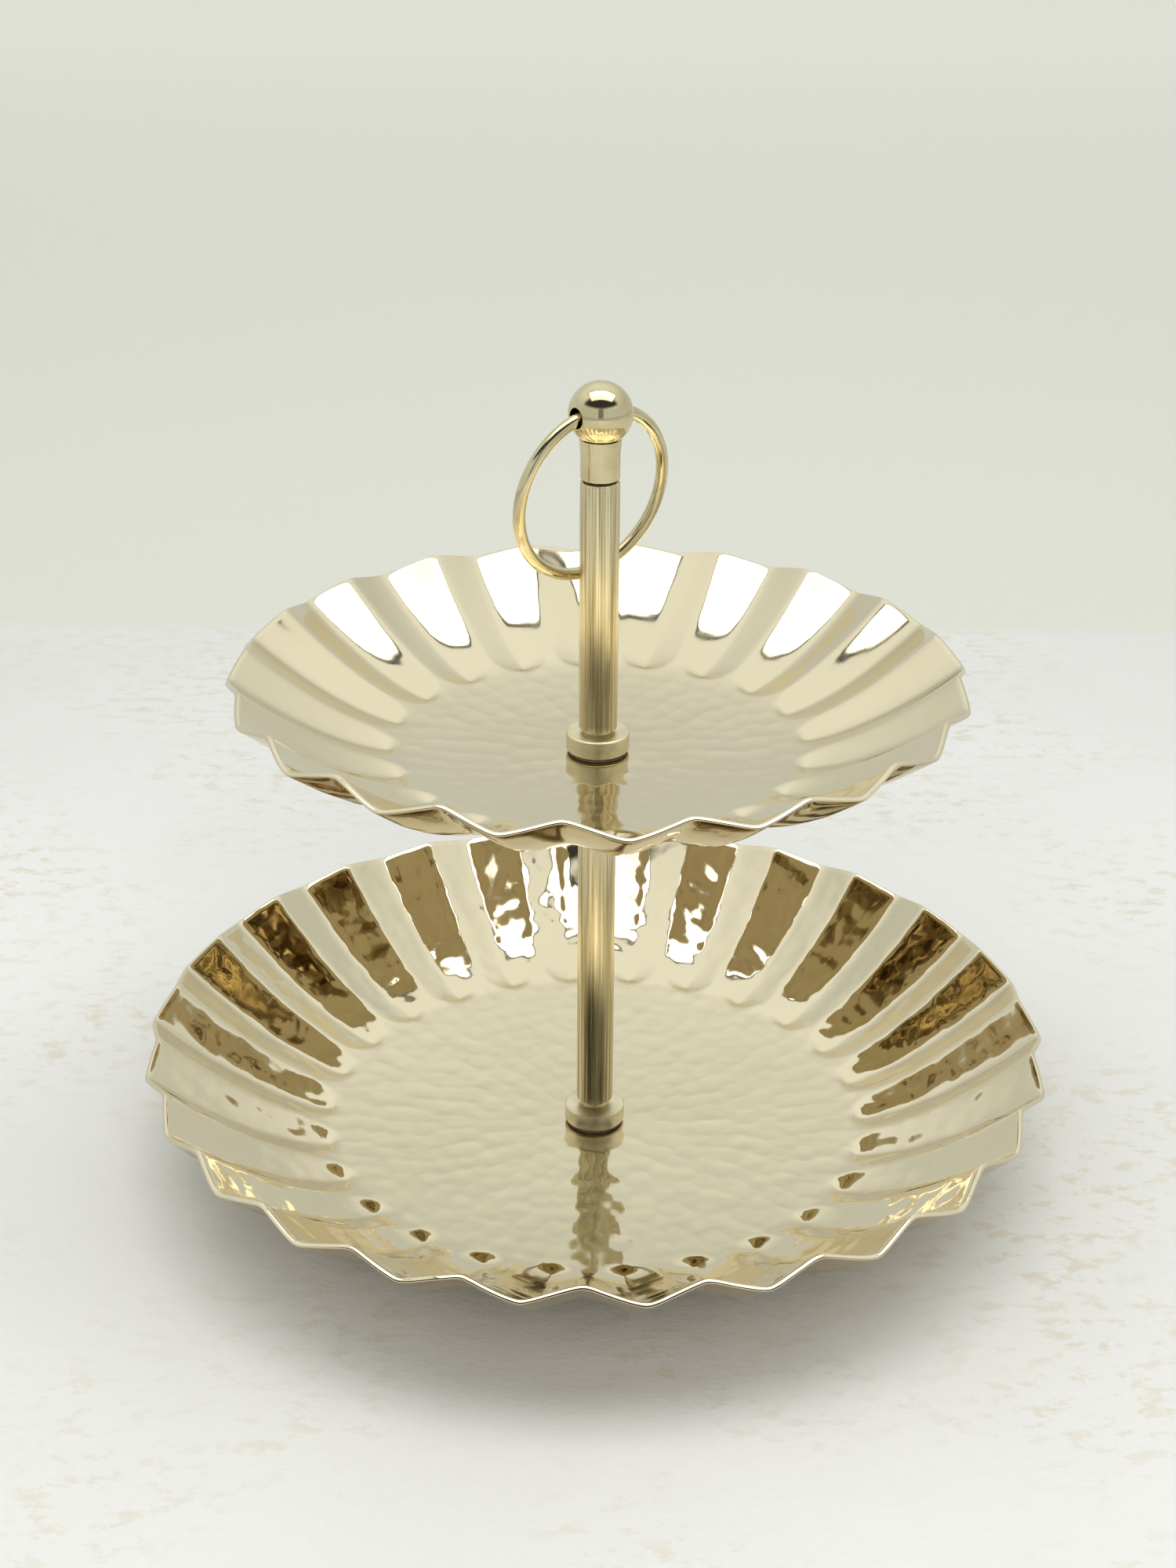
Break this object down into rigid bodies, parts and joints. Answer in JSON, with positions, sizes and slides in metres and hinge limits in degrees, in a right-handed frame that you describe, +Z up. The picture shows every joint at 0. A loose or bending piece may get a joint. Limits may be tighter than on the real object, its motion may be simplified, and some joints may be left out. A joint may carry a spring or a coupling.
{
  "type": "cake stand",
  "caption": "Two-tier cake stand: two round fluted brass trays on a screwed tube column with a ball finial and a ring handle.",
  "frame": {"origin": "on the table under the column's axis", "axes": "+Z up the column; +Y towards the back, +X to the right"},
  "size_m": [0.2944, 0.293, 0.2618],
  "materials": {
    "tray_brass": "polished, hammered floor",
    "column_brass": "brushed lengthwise",
    "turned_brass": "polished",
    "screw_steel": "plain",
    "gasket_rubber": "matt",
    "pad_rubber": "matt"
  },
  "bodies": {
    "base": {"lower_tray": "tray_brass", "base_screw": "screw_steel", "base_washer": "screw_steel", "base_gasket": "gasket_rubber", "foot_pad_1": "pad_rubber", "foot_pad_2": "pad_rubber", "foot_pad_3": "pad_rubber", "foot_pad_4": "pad_rubber"},
    "lower_washer": {"lower_gasket": "gasket_rubber"},
    "lower_column": {"lower_collar": "turned_brass", "lower_tube": "column_brass", "tube_seat": "turned_brass", "joining_stud": "screw_steel", "seat_gasket": "gasket_rubber"},
    "upper_tray": {"upper_tray": "tray_brass"},
    "upper_washer": {"upper_gasket": "gasket_rubber"},
    "upper_column": {"upper_collar": "turned_brass", "upper_tube": "column_brass", "finial_plug": "turned_brass", "finial_shank": "turned_brass", "finial_ball": "turned_brass"},
    "ring": {"ring_handle": "turned_brass"}
  },
  "joints": [
    {"name": "lower_column_lift", "type": "slide", "parent": "base", "child": "lower_washer", "axis": [0, 0, 1], "range_m": [0, 0.012]},
    {"name": "lower_column_unscrew", "type": "hinge", "parent": "lower_washer", "child": "lower_column", "pos_m": [0, 0, 0.0076], "axis": [0, 0, 1], "range_deg": [0, 4325]},
    {"name": "upper_tray_turn", "type": "hinge", "parent": "lower_column", "child": "upper_tray", "pos_m": [0, 0, 0.1416], "axis": [0, 0, 1], "continuous": true},
    {"name": "upper_column_lift", "type": "slide", "parent": "lower_column", "child": "upper_washer", "axis": [0, 0, 1], "range_m": [0, 0.009]},
    {"name": "upper_column_unscrew", "type": "hinge", "parent": "upper_washer", "child": "upper_column", "pos_m": [0, 0, 0.1442], "axis": [0, 0, 1], "range_deg": [0, 3245]},
    {"name": "ring_swing", "type": "hinge", "parent": "upper_column", "child": "ring", "pos_m": [0, 0, 0.2521], "axis": [0.7944, 0.6074, 0], "range_deg": [0, 342]}
  ],
  "couplings": [
    {"joint": "lower_column_unscrew", "follows": "lower_column_lift", "rad_per_m": 6283.2},
    {"joint": "upper_column_unscrew", "follows": "upper_column_lift", "rad_per_m": 6283.2}
  ]
}
